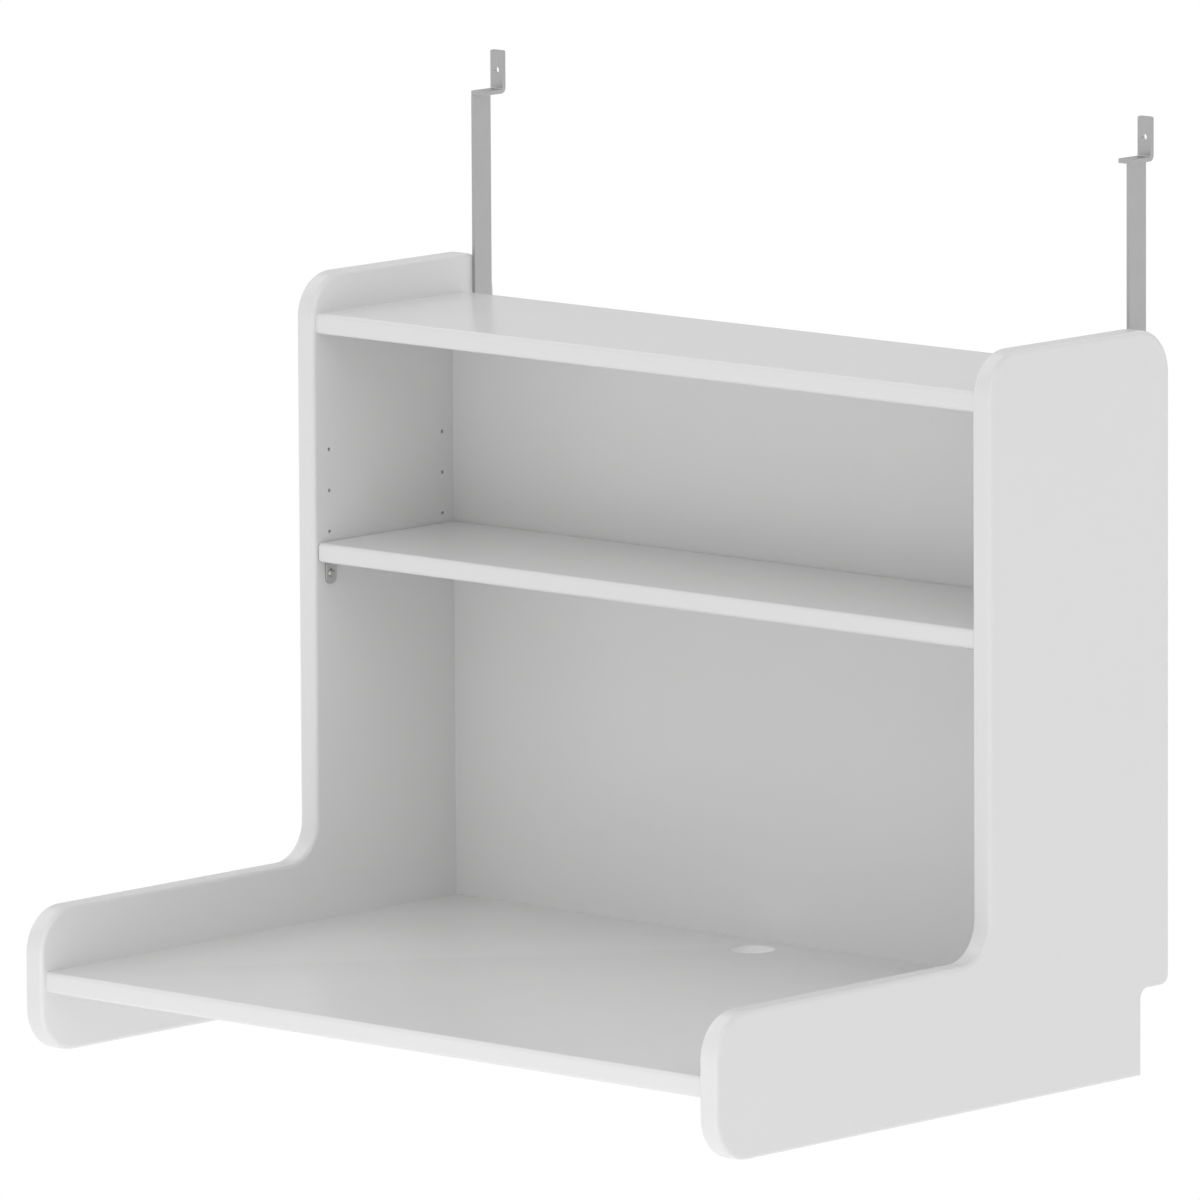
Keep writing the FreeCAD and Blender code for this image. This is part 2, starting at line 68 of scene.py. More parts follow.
# %% Place the camera
CAMERA_PLACE = Vector((7.8689, -8.6190, 2.1508))
CAMERA_TURN, CAMERA_ABOVE, CAMERA_ROLL = 42.369, 8.756, 0.305
FOCAL_LENGTH, SENSOR_WIDTH = 470.15, 36.0  # both in millimetres
NEAREST, FARTHEST = 0.5, 120.0
lens = bpy.data.cameras.new("studio_camera")
lens.sensor_width = SENSOR_WIDTH
lens.lens = FOCAL_LENGTH
lens.clip_start, lens.clip_end = NEAREST, FARTHEST
camera = bpy.data.objects.new("studio_camera", lens)
scene.collection.objects.link(camera)
camera.matrix_world = (
    Matrix.Translation(CAMERA_PLACE)
    @ Matrix.Rotation(radians(CAMERA_TURN), 4, "Z")
    @ Matrix.Rotation(radians(90.0 - CAMERA_ABOVE), 4, "X")
    @ Matrix.Rotation(radians(-CAMERA_ROLL), 4, "Z")
)
scene.camera = camera
print("Camera stands", round(CAMERA_PLACE.length, 2), "m from the middle of the desk's footprint")

# %% [markdown]
# ## The studio
#
# White furniture on a white ground is lit by large, soft sources, so that faces differ by a few
# shades only and no hard shadow falls. One could hang real lamps only, but a near lamp lights the
# near arm more than the far one. Here a white sky does more than half of the work: it darkens
# every inner corner by itself, because a corner sees less of it. Overhead it is a little dimmer,
# or the upward faces would be too bright. The rest comes from a ring of soft suns, each as wide as
# 48 degrees of sky, like big diffusers far away, and the strongest stands on the left. Only one
# near lamp is left, low in front, as light does come back from a bright floor.
# What the camera itself sees of the sky is plain white, whatever the sky's light is.
# White finishes need a view transform that leaves white alone, so the plain one is chosen.

# %% Build the studio
WHITE = (1.0, 1.0, 1.0, 1.0)
FLOOR_Z = -0.62
FLOOR_HALF = 45.0
FLOOR_GLOW = 0.16
SKY_STRENGTH = 0.645
OVERHEAD_STRENGTH = 0.46
DIM_FROM, DIM_TO = 0.60, 0.85  # sines of the heights between which the sky grows dimmer
scene.view_settings.view_transform = "Standard"
scene.view_settings.look = "None"

sky = bpy.data.worlds.new("studio_sky")
sky.use_nodes = True
scene.world = sky
sky_nodes, join = sky.node_tree.nodes, sky.node_tree.links.new
light_of_sky = sky_nodes["Background"]
light_of_sky.inputs["Color"].default_value = WHITE
towards_sky = sky_nodes.new("ShaderNodeTexCoord")
steepness = sky_nodes.new("ShaderNodeSeparateXYZ")
dimming = sky_nodes.new("ShaderNodeMapRange")
dimming.inputs["From Min"].default_value = DIM_FROM
dimming.inputs["From Max"].default_value = DIM_TO
dimming.inputs["To Min"].default_value = SKY_STRENGTH
dimming.inputs["To Max"].default_value = OVERHEAD_STRENGTH
join(towards_sky.outputs["Generated"], steepness.inputs[0])
join(steepness.outputs["Z"], dimming.inputs["Value"])
join(dimming.outputs["Result"], light_of_sky.inputs["Strength"])
seen_sky = sky_nodes.new("ShaderNodeBackground")
seen_sky.inputs["Color"].default_value = WHITE
either = sky_nodes.new("ShaderNodeMixShader")
ray = sky_nodes.new("ShaderNodeLightPath")
join(ray.outputs["Is Camera Ray"], either.inputs["Fac"])
join(light_of_sky.outputs["Background"], either.inputs[1])
join(seen_sky.outputs["Background"], either.inputs[2])
join(either.outputs["Shader"], sky_nodes["World Output"].inputs["Surface"])
print("Sky strength", SKY_STRENGTH, "and overhead", OVERHEAD_STRENGTH)

# %% Place the ring of soft suns
SUN_WIDTH = 48.0
SUNS = [  # turn from straight in front, height above the level, strength
    ("left_sun", -90.0, 40.0, 0.47),
    ("front_sun", 0.0, 45.0, 0.12),
    ("back_sun", 180.0, 45.0, 0.24),
    ("front_right_sun", 40.0, 45.0, 0.28),
    ("right_sun", 90.0, 45.0, 0.25),
]

for name, turn, above, strength in SUNS:
    sun = bpy.data.lights.new(name, "SUN")
    sun.energy = strength
    sun.angle = radians(SUN_WIDTH)
    holder = bpy.data.objects.new(name, sun)
    scene.collection.objects.link(holder)
    a, e = radians(turn), radians(above)
    away = Vector((np.sin(a) * np.cos(e), -np.cos(a) * np.cos(e), np.sin(e)))
    holder.matrix_world = away.to_track_quat("Z", "Y").to_matrix().to_4x4()
print(len(SUNS), "soft suns, each", SUN_WIDTH, "degrees wide")

# %% Add one near lamp, low in front
LOW_LAMP_PLACE, LOW_LAMP_AIM = Vector((0.2, -1.35, -0.25)), Vector((0.0, -0.2, 0.05))
LOW_LAMP_SIZE, LOW_LAMP_POWER = 1.0, 2.65  # metres and watts
low_lamp = bpy.data.lights.new("low_front_lamp", "AREA")
low_lamp.shape, low_lamp.size, low_lamp.energy = "SQUARE", LOW_LAMP_SIZE, LOW_LAMP_POWER
holder = bpy.data.objects.new("low_front_lamp", low_lamp)
scene.collection.objects.link(holder)
holder.matrix_world = (Matrix.Translation(LOW_LAMP_PLACE)
                       @ (LOW_LAMP_PLACE - LOW_LAMP_AIM).to_track_quat("Z", "Y").to_matrix().to_4x4())
holder.visible_camera = False
print("The low lamp makes the arms' fronts a little brighter than the shelves'")

# %% [markdown]
# ## Node helpers
#
# A finish is a small network: coordinates go in, noise gives a mask, and the mask moves colour,
# roughness or height a little. Effects that several finishes share are made once as node groups.
# Each group has named inputs and outputs and gives out only a mask, so every material keeps its
# own shader and chooses how strongly the mask works.

# %% Make small node networks


def link(tree, source, target):
    """Joins an output to an input of the same tree."""
    tree.links.new(source, target)


def new_group(name, inputs, output):
    """An empty shader node group with number or vector inputs and one output of numbers."""
    tree = bpy.data.node_groups.new(name, "ShaderNodeTree")
    for label, kind, value in inputs:
        socket = tree.interface.new_socket(name=label, in_out="INPUT", socket_type=kind)
        if kind == "NodeSocketFloat":
            socket.default_value = value
    tree.interface.new_socket(name=output, in_out="OUTPUT", socket_type="NodeSocketFloat")
    return tree, tree.nodes.new("NodeGroupInput"), tree.nodes.new("NodeGroupOutput")


def scaled_vector(tree, vector, size):
    """The vector divided by a size, so that a pattern of one unit becomes one size long."""
    node = tree.nodes.new("ShaderNodeVectorMath")
    node.operation = "DIVIDE"
    link(tree, vector, node.inputs[0])
    link(tree, size, node.inputs[1])
    return node.outputs["Vector"]


def noise_mask(tree, vector, detail, rough, low, high):
    """Noise over the vector, spread so that values from low to high become 0 to 1."""
    noise = tree.nodes.new("ShaderNodeTexNoise")
    noise.inputs["Scale"].default_value = 1.0
    noise.inputs["Detail"].default_value = detail
    noise.inputs["Roughness"].default_value = rough
    link(tree, vector, noise.inputs["Vector"])
    spread = tree.nodes.new("ShaderNodeMapRange")
    spread.inputs["From Min"].default_value = low
    spread.inputs["From Max"].default_value = high
    link(tree, noise.outputs["Fac"], spread.inputs["Value"])
    return spread.outputs["Result"]


# %% [markdown]
# ## Shared effects
#
# * Sprayed surface: lacquer and powder coat never dry quite flat. They keep low waves a few
#   millimetres long, known as orange peel, which bend reflections softly.
# * Handled patches: hands and cloths leave wide areas slightly duller or shinier than the rest.
# * Rubbed and highlit edges: a rounded edge is touched most, and it catches the light. On flat
#   furniture a rounding is where the surface faces none of the three main directions, so the mask
#   is worked out from the normal alone. Its value is 1 less the largest part of the normal, spread
#   to run from 0 to 1. Where it lowers roughness it is real polish, and where it lightens the
#   colour it is a painted highlight.
# * Settled dust: fine specks that lie only where a surface looks up.

# %% Build the groups for sprayed surfaces and handled patches
FLOAT, VECTOR = "NodeSocketFloat", "NodeSocketVector"

spray, spray_in, spray_out = new_group(
    "sprayed_surface", [("Vector", VECTOR, None), ("Wave", FLOAT, 0.003)], "Height")
fine = scaled_vector(spray, spray_in.outputs["Vector"], spray_in.outputs["Wave"])
waves = noise_mask(spray, fine, 2.0, 0.55, 0.3, 0.7)
link(spray, waves, spray_out.inputs["Height"])

patches, patches_in, patches_out = new_group(
    "handled_patches", [("Vector", VECTOR, None), ("Size", FLOAT, 0.12)], "Mask")
wide = scaled_vector(patches, patches_in.outputs["Vector"], patches_in.outputs["Size"])
broad = noise_mask(patches, wide, 2.5, 0.5, 0.22, 0.78)
link(patches, broad, patches_out.inputs["Mask"])
print("Groups:", spray.name, patches.name)

# %% Build the groups for rubbed edges and settled dust
FLAT_FROM, ROUND_AT = 0.995, 0.72  # largest part of the normal on a flat face and on a rounding
TILTED, LEVEL = 0.6, 0.98  # upward part of the normal where dust starts to lie and lies fully

# This mask is real rubbing where it lowers roughness, and a painted highlight where it lightens colour.
edges, edges_in, edges_out = new_group("rubbed_and_highlit_edges", [("Vector", VECTOR, None)], "Mask")
facing = edges.nodes.new("ShaderNodeNewGeometry")
size_of = edges.nodes.new("ShaderNodeVectorMath")
size_of.operation = "ABSOLUTE"
link(edges, facing.outputs["Normal"], size_of.inputs[0])
parts = edges.nodes.new("ShaderNodeSeparateXYZ")
link(edges, size_of.outputs["Vector"], parts.inputs[0])
larger = edges.nodes.new("ShaderNodeMath")
larger.operation = "MAXIMUM"
link(edges, parts.outputs["X"], larger.inputs[0])
link(edges, parts.outputs["Y"], larger.inputs[1])
largest = edges.nodes.new("ShaderNodeMath")
largest.operation = "MAXIMUM"
link(edges, larger.outputs[0], largest.inputs[0])
link(edges, parts.outputs["Z"], largest.inputs[1])
turned = edges.nodes.new("ShaderNodeMapRange")
turned.inputs["From Min"].default_value = FLAT_FROM
turned.inputs["From Max"].default_value = ROUND_AT
link(edges, largest.outputs[0], turned.inputs["Value"])
uneven = noise_mask(edges, edges_in.outputs["Vector"], 3.0, 0.6, 0.3, 0.75)
rubbed_and_highlit = edges.nodes.new("ShaderNodeMath")
rubbed_and_highlit.operation = "MULTIPLY"
link(edges, turned.outputs["Result"], rubbed_and_highlit.inputs[0])
link(edges, uneven, rubbed_and_highlit.inputs[1])
link(edges, rubbed_and_highlit.outputs[0], edges_out.inputs["Mask"])

dust, dust_in, dust_out = new_group(
    "settled_dust", [("Vector", VECTOR, None), ("Speck", FLOAT, 0.0012)], "Mask")
tiny = scaled_vector(dust, dust_in.outputs["Vector"], dust_in.outputs["Speck"])
specks = noise_mask(dust, tiny, 1.0, 0.5, 0.68, 0.80)
drifts = noise_mask(dust, tiny, 4.0, 0.7, 0.45, 0.75)
upward = dust.nodes.new("ShaderNodeNewGeometry")
height_part = dust.nodes.new("ShaderNodeSeparateXYZ")
link(dust, upward.outputs["Normal"], height_part.inputs[0])
level = dust.nodes.new("ShaderNodeMapRange")
level.inputs["From Min"].default_value = TILTED
level.inputs["From Max"].default_value = LEVEL
link(dust, height_part.outputs["Z"], level.inputs["Value"])
thin = dust.nodes.new("ShaderNodeMath")
thin.operation = "MULTIPLY"
link(dust, specks, thin.inputs[0])
link(dust, drifts, thin.inputs[1])
lying = dust.nodes.new("ShaderNodeMath")
lying.operation = "MULTIPLY"
link(dust, thin.outputs[0], lying.inputs[0])
link(dust, level.outputs["Result"], lying.inputs[1])
link(dust, lying.outputs[0], dust_out.inputs["Mask"])
print("Groups:", edges.name, dust.name)

# %% [markdown]
# ## A finish in one call
#
# Every finish here has the same skeleton: a base colour that drifts a little towards a second
# colour, a roughness that moves between two values, and a height for the bump. The helpers add
# one of these at a time, so that each material reads as a short list of what is on the real
# surface. Object coordinates are used all over, because every piece has its place in its mesh:
# one metre in the pattern is one metre on the desk.

# %% Define a finish and its parts


class Finish:
    """A material under construction: a tree, its shader and the object coordinates."""

    def __init__(self, name, rough, metallic=0.0):
        self.material = bpy.data.materials.new(name)
        self.material.use_nodes = True
        self.tree = self.material.node_tree
        self.shader = self.tree.nodes["Principled BSDF"]
        self.shader.inputs["Roughness"].default_value = rough
        self.shader.inputs["Metallic"].default_value = metallic
        self.place = self.tree.nodes.new("ShaderNodeTexCoord").outputs["Object"]
        self.colour = None
        self.roughness = None
        self.normal = None

    def effect(self, tree, value_name=None, value=None, stretch=None):
        """A shared effect's mask over the object coordinates, or over stretched ones."""
        node = self.tree.nodes.new("ShaderNodeGroup")
        node.node_tree = tree
        if value_name:
            node.inputs[value_name].default_value = value
        link(self.tree, self.place if stretch is None else self.stretched(stretch), node.inputs["Vector"])
        return node.outputs[0]

    def stretched(self, factors):
        """Object coordinates multiplied by three factors. A small factor draws a pattern out."""
        node = self.tree.nodes.new("ShaderNodeMapping")
        node.inputs["Scale"].default_value = factors
        link(self.tree, self.place, node.inputs["Vector"])
        return node.outputs["Vector"]

    def mix_colour(self, mask, first, second):
        """Base colour from first, where the mask is 0, to second, where it is 1."""
        node = self.tree.nodes.new("ShaderNodeMix")
        node.data_type = "RGBA"
        link(self.tree, mask, node.inputs["Factor"])
        if self.colour is None:
            node.inputs["A"].default_value = (*first, 1.0)
        else:
            link(self.tree, self.colour, node.inputs["A"])
        node.inputs["B"].default_value = (*second, 1.0)
        self.colour = node.outputs["Result"]

    def tint(self, mask, colour, amount):
        """Moves the base colour towards another colour, by amount where the mask is 1."""
        node = self.tree.nodes.new("ShaderNodeMath")
        node.operation = "MULTIPLY"
        node.inputs[1].default_value = amount
        link(self.tree, mask, node.inputs[0])
        self.mix_colour(node.outputs[0], None, colour)

    def vary_roughness(self, mask, low, high):
        """Roughness from low, where the mask is 0, to high, where it is 1."""
        node = self.tree.nodes.new("ShaderNodeMapRange")
        node.inputs["To Min"].default_value = low
        node.inputs["To Max"].default_value = high
        link(self.tree, mask, node.inputs["Value"])
        self.roughness = node.outputs["Result"]

    def smooth_where(self, mask, rough):
        """Pulls the roughness to one value where the mask is 1."""
        node = self.tree.nodes.new("ShaderNodeMix")
        node.data_type = "FLOAT"
        link(self.tree, mask, node.inputs["Factor"])
        link(self.tree, self.roughness, node.inputs["A"])
        node.inputs["B"].default_value = rough
        self.roughness = node.outputs["Result"]

    def raise_surface(self, height, depth):
        """A bump of that depth in metres. Several bumps follow one another."""
        node = self.tree.nodes.new("ShaderNodeBump")
        node.inputs["Strength"].default_value = 1.0
        node.inputs["Distance"].default_value = depth
        link(self.tree, height, node.inputs["Height"])
        if self.normal is not None:
            link(self.tree, self.normal, node.inputs["Normal"])
        self.normal = node.outputs["Normal"]

    def done(self):
        """Joins what was built to the shader and gives the material."""
        for value, name in ((self.colour, "Base Color"), (self.roughness, "Roughness"),
                            (self.normal, "Normal")):
            if value is not None:
                link(self.tree, value, self.shader.inputs[name])
        return self.material


print("Finishes read object coordinates, in metres")

# %% [markdown]
# ## White lacquer
#
# The boards are fibreboard, sprayed, sanded and sprayed again with a satin white lacquer. It looks
# plain, but it is not one flat colour. The white drifts a little between warm and cool from area
# to area, the film has orange peel, cloths and sleeves polish some patches and most of all the
# rounded edges, and upward faces carry a trace of dust. Paint could also be modelled as a clear
# coat over a dull white. A satin lacquer has pigment up to its surface, so one layer is right.

# %% Mix the white lacquer
lacquer = Finish("white_lacquer", 0.24)
cloudy = lacquer.effect(patches, "Size", 0.16)
lacquer.mix_colour(cloudy, (0.774, 0.774, 0.772), (0.778, 0.778, 0.778))
lacquer.tint(lacquer.effect(patches, "Size", 0.035), (0.768, 0.767, 0.764), 0.3)
lacquer.tint(lacquer.effect(dust, "Speck", 0.0016), (0.66, 0.65, 0.63), 0.07)
# Painted highlight: the rounded edges are coloured a shade lighter, as if they caught the light.
lacquer.tint(lacquer.effect(edges, stretch=(60.0, 60.0, 60.0)), (0.80, 0.80, 0.795), 0.6)
lacquer.vary_roughness(lacquer.effect(patches, "Size", 0.09), 0.23, 0.26)
lacquer.smooth_where(lacquer.effect(edges, stretch=(45.0, 45.0, 45.0)), 0.22)
lacquer.raise_surface(lacquer.effect(spray, "Wave", 0.0034), 0.000008)
lacquer.raise_surface(lacquer.effect(spray, "Wave", 0.0009), 0.0000015)
white_lacquer = lacquer.done()
print("Made", white_lacquer.name)

# %% [markdown]
# ## Steel, zinc and nickel
#
# The hangers are flat steel with a grey powder coat. The powder holds fine metal flakes, so the
# coat is mostly metallic and mirrors what is near it, softly: where the ledge meets its upright
# tab, each darkens the other. Powder melts into a film with a fine, tight texture, much finer and
# a little deeper than lacquer's waves.
# The screws are bright zinc plated, the cam locks are cast zinc, dull and grainy, and the shelf
# supports are pressed and nickel plated. These three are bare metal, so they are fully metallic,
# and what tells them apart is roughness and grain. A brushed or pressed surface has marks drawn
# out in one direction, which the same noise gives when its coordinates are stretched.

# %% Mix the metal finishes
powder = Finish("hanger_powder_coat", 0.36, 0.85)
powder.mix_colour(powder.effect(patches, "Size", 0.04), (0.475, 0.476, 0.478), (0.500, 0.501, 0.503))
powder.tint(powder.effect(spray, "Wave", 0.0005), (0.42, 0.42, 0.425), 0.35)
# Painted highlight: the rounded rims are coloured a lighter grey, as if they caught the light.
powder.tint(powder.effect(edges, stretch=(150.0, 150.0, 150.0)), (0.58, 0.58, 0.585), 0.7)
powder.vary_roughness(powder.effect(patches, "Size", 0.02), 0.30, 0.42)
powder.smooth_where(powder.effect(edges, stretch=(120.0, 120.0, 120.0)), 0.26)
powder.raise_surface(powder.effect(spray, "Wave", 0.0009), 0.00002)
hanger_powder_coat = powder.done()

zinc = Finish("bright_zinc_plate", 0.3, 1.0)
zinc.mix_colour(zinc.effect(patches, "Size", 0.003), (0.66, 0.67, 0.69), (0.74, 0.74, 0.73))
zinc.vary_roughness(zinc.effect(patches, "Size", 0.0012), 0.22, 0.40)
zinc.raise_surface(zinc.effect(spray, "Wave", 0.0004), 0.000006)
bright_zinc_plate = zinc.done()

cast = Finish("cast_zinc", 0.48, 1.0)
cast.mix_colour(cast.effect(patches, "Size", 0.004), (0.50, 0.51, 0.53), (0.60, 0.60, 0.61))
cast.vary_roughness(cast.effect(patches, "Size", 0.002), 0.40, 0.60)
cast.raise_surface(cast.effect(spray, "Wave", 0.0006), 0.00003)
cast_zinc = cast.done()

nickel = Finish("pressed_nickel_plate", 0.16, 1.0)
nickel.mix_colour(nickel.effect(patches, "Size", 0.003), (0.50, 0.50, 0.495), (0.57, 0.57, 0.565))
drawn = nickel.effect(spray, "Wave", 0.0006, stretch=(1.0, 1.0, 0.06))
nickel.vary_roughness(drawn, 0.11, 0.22)
nickel.raise_surface(drawn, 0.000003)
pressed_nickel_plate = nickel.done()
print("Made", [m.name for m in (hanger_powder_coat, bright_zinc_plate, cast_zinc, pressed_nickel_plate)])

# %% [markdown]
# ## Moulded plastic and raw beech
#
# The cam caps are moulded white plastic with the fine spark-eroded grain of their mould, so that
# they hide fingerprints. The dowels are raw beech. Beech has fine grain along the dowel with short
# dark flecks, so its noise is drawn out along the dowel's length. Level dowels and upright ones
# need the stretch along different axes, so the finish is made by a function with that choice.

# %% Mix the plastic and the beech
plastic = Finish("moulded_white_plastic", 0.45)
plastic.mix_colour(plastic.effect(patches, "Size", 0.006), (0.78, 0.78, 0.775), (0.80, 0.80, 0.795))
plastic.vary_roughness(plastic.effect(patches, "Size", 0.003), 0.42, 0.52)
plastic.raise_surface(plastic.effect(spray, "Wave", 0.00035), 0.00001)
moulded_white_plastic = plastic.done()


def beech(name, along):
    """Raw beech with its grain drawn out along one axis: 0 is X and 2 is Z."""
    wood = Finish(name, 0.6)
    grain, flecks = [1.0, 1.0, 1.0], [1.0, 1.0, 1.0]
    grain[along], flecks[along] = 0.05, 0.25
    wood.mix_colour(wood.effect(patches, "Size", 0.002, stretch=grain),
                    (0.66, 0.47, 0.29), (0.76, 0.59, 0.40))
    wood.tint(wood.effect(spray, "Wave", 0.0004, stretch=flecks), (0.42, 0.25, 0.13), 0.35)
    wood.vary_roughness(wood.effect(patches, "Size", 0.001, stretch=grain), 0.52, 0.70)
    wood.raise_surface(wood.effect(spray, "Wave", 0.0003, stretch=grain), 0.00002)
    return wood.done()


beech_level = beech("raw_beech_level_dowels", 0)
beech_upright = beech("raw_beech_upright_dowels", 2)
print("Made", moulded_white_plastic.name, beech_level.name, beech_upright.name)

# %% [markdown]
# ## Finishes onto the CAD pieces
#
# A CAD piece keeps its mesh and gets its finish in its material slots. The names of the pieces say
# what they are, so the list goes from the ending of a name to a finish.

# %% Give every CAD piece its finish
FINISH_BY_NAME = [
    (("side_panel", "desk_top", "top_shelf", "back_panel", "adjustable_shelf"), white_lacquer),
    (("strap", "hook"), hanger_powder_coat),
    (("screws", "cam_bolts"), bright_zinc_plate),
    (("cam_locks",), cast_zinc),
    (("support_plate", "support_pin"), pressed_nickel_plate),
    (("cam_caps",), moulded_white_plastic),
    (("top_dowels", "shelf_dowels", "side_dowels"), beech_level),
    (("upright_dowels",), beech_upright),
]
finish_of = {}
for name, piece in nodes.items():
    finish_of[name] = next(finish for endings, finish in FINISH_BY_NAME if name.endswith(endings))
    if not piece.material_slots:
        piece.data.materials.append(finish_of[name])
    for place in piece.material_slots:
        place.material = finish_of[name]
print(len(finish_of), "CAD pieces have a finish")

# %% [markdown]
# ## Eased edges
#
# Nothing that is cut, bent or sprayed has knife edges. Deburring, sanding and the coating leave a
# rounding of a few tenths of a millimetre. It catches the light along a strap, and it draws the
# fine line where two boards meet, which shows that they are separate pieces. CAD leaves such
# edges sharp. The mesh of a CAD piece is loose triangles, so a copy of it is merged first, its
# flat triangles are joined into whole faces, and a Bevel modifier then rounds only the sharp
# edges. The copy stands for the CAD piece in the picture.

# %% Ease the edges of boards and steel
SHARP = radians(32.0)
SAME_PLACE = 0.002 * MM
SAME_PLANE = radians(0.5)
BOARD_EASE, STEEL_EASE, PLATE_EASE = 0.3 * MM, 0.35 * MM, 0.2 * MM


def shaded(mesh, sharp=SHARP):
    """Smooth shading, with the edges that turn by more than the sharp angle kept crisp."""
    mesh.shade_smooth()
    mesh.set_sharp_from_angle(angle=sharp)


def eased(cad_name, body, width, name):
    """A merged copy of a CAD piece with its sharp edges rounded to that width."""
    mesh = bpy.data.meshes.new(name)
    work = bmesh.new()
    work.from_mesh(nodes[cad_name].data)
    bmesh.ops.remove_doubles(work, verts=work.verts, dist=SAME_PLACE)
    bmesh.ops.dissolve_limit(work, angle_limit=SAME_PLANE, verts=work.verts, edges=work.edges)
    bmesh.ops.recalc_face_normals(work, faces=work.faces)
    open_edges = sum(1 for e in work.edges if not e.is_manifold)
    work.to_mesh(mesh)
    work.free()
    for label in ("custom_normal", "sharp_edge"):
        old = mesh.attributes.get(label)
        if old is not None:
            mesh.attributes.remove(old)
    shaded(mesh)
    mesh.materials.clear()
    mesh.materials.append(finish_of[cad_name])
    piece = bpy.data.objects.new(name, mesh)
    scene.collection.objects.link(piece)
    bevel = piece.modifiers.new("eased_edges", "BEVEL")
    bevel.width = width
    bevel.segments = 2
    bevel.limit_method = "ANGLE"
    bevel.angle_limit = SHARP
    bevel.harden_normals = True
    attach(piece, body)
    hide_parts(cad_name)
    print(name, "has", len(mesh.polygons), "faces before its bevel and", open_edges, "open edges")


for board in ("left_side_panel", "right_side_panel", "desk_top", "top_shelf", "back_panel"):
    eased(board, "hanging_desk", BOARD_EASE, board + "_eased")
eased("adjustable_shelf", "adjustable_shelf", BOARD_EASE, "adjustable_shelf_eased")
for side in ("left", "right"):
    for part in ("strap", "hook"):
        eased(f"{side}_hanger_{part}", "hanging_desk", STEEL_EASE, f"{side}_{part}_eased")
    for depth in ("front", "rear"):
        eased(f"{depth}_{side}_support_plate", f"{depth}_{side}_support",
              PLATE_EASE, f"{depth}_{side}_plate_eased")

# %% [markdown]
# ## Meshes from grids
#
# The small turned parts are surfaces over a grid of two parameters: one goes round, the other goes
# from one pole to the other. Numpy works out all points at once, and the helper below joins the
# grid into faces. It wraps round, and closes each end with a single point, so the mesh is sealed
# and can be printed or exported as a solid.

# %% Make closed surfaces from rings of points
SHARP_ON_TURNED = radians(40.0)


def sealed(rings, first_pole, last_pole):
    """Points and faces of a closed surface. rings has the shape (rings, points, 3). Faces join
    each ring to the next, and triangles join the end rings to the two poles. The volume, a sixth
    of the sum over triangles of one corner dotted with the cross product of the other two, is
    above 0 when faces point outwards. If it isn't, every face is turned round."""
    count, sides = rings.shape[:2]
    points = np.concatenate([rings.reshape(-1, 3), [first_pole], [last_pole]])
    here = np.arange(sides)
    after = (here + 1) % sides
    start = np.arange(count - 1)[:, None] * sides
    quads = np.stack([start + here, start + after, start + sides + after, start + sides + here],
                     axis=-1).reshape(-1, 4)
    end = (count - 1) * sides
    first, last = np.full(sides, count * sides), np.full(sides, count * sides + 1)
    caps = np.concatenate([np.stack([after, here, first], axis=-1),
                           np.stack([end + here, end + after, last], axis=-1)])
    corners = np.concatenate([quads[:, [0, 1, 2]], quads[:, [0, 2, 3]], caps])
    middle = points.mean(axis=0)
    a, b, c = (points[corners[:, i]] - middle for i in range(3))
    if np.einsum("ij,ij->i", a, np.cross(b, c)).sum() < 0:
        quads, caps = quads[:, ::-1], caps[:, ::-1]
    return points, quads, caps


def add_closed_piece(name, surfaces, finish, body, slot_name, *stands_for):
    """One object from several closed surfaces, riding on a body in place of CAD pieces."""
    points, faces, used = [], [], 0
    for own_points, quads, caps in surfaces:
        points.append(own_points)
        faces += (quads + used).tolist() + (caps + used).tolist()
        used += len(own_points)
    mesh = bpy.data.meshes.new(name)
    mesh.from_pydata(np.concatenate(points).tolist(), [], faces)
    mesh.materials.append(finish)
    shaded(mesh, SHARP_ON_TURNED)
    piece = bpy.data.objects.new(name, mesh)
    scene.collection.objects.link(piece)
    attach(piece, body)
    if stands_for:
        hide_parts(*stands_for)
    print(name, "has", len(surfaces), "closed surfaces and", len(faces), "faces")


# %% [markdown]
# ## Hanger screws
#
# Each strap is held by three pan-head wood screws. A screw has a domed head, a cross recess for
# the driver, a shank with a thread and a point. It could be put together from a cylinder, a cut
# cross and a coil, but one surface does it all: a radius and a height along the screw's axis for
# each ring. The thread is a ripple of the radius that turns once for each pitch. The recess pushes
# the top of the head down where a point lies within half a blade's width of either arm of the
# cross, with walls that slope a little, as a driver bit does.

# %% Work out one screw
SCREW_SIDES = 64
PITCH = 1.8 * MM
BLADE, REACH, RECESS = 0.5 * MM, 2.1 * MM, 1.3 * MM
WALL_SLOPE, END_SLOPE = 0.2 * MM, 0.6 * MM
RIM_SHARE = 0.35
PLAIN_SHANK, PLAIN_SHARE = 3.5 * MM, 0.92
POINT_LENGTH, POINT_SHARE = 3.0 * MM, 0.12
THREAD_DEPTH = 0.2


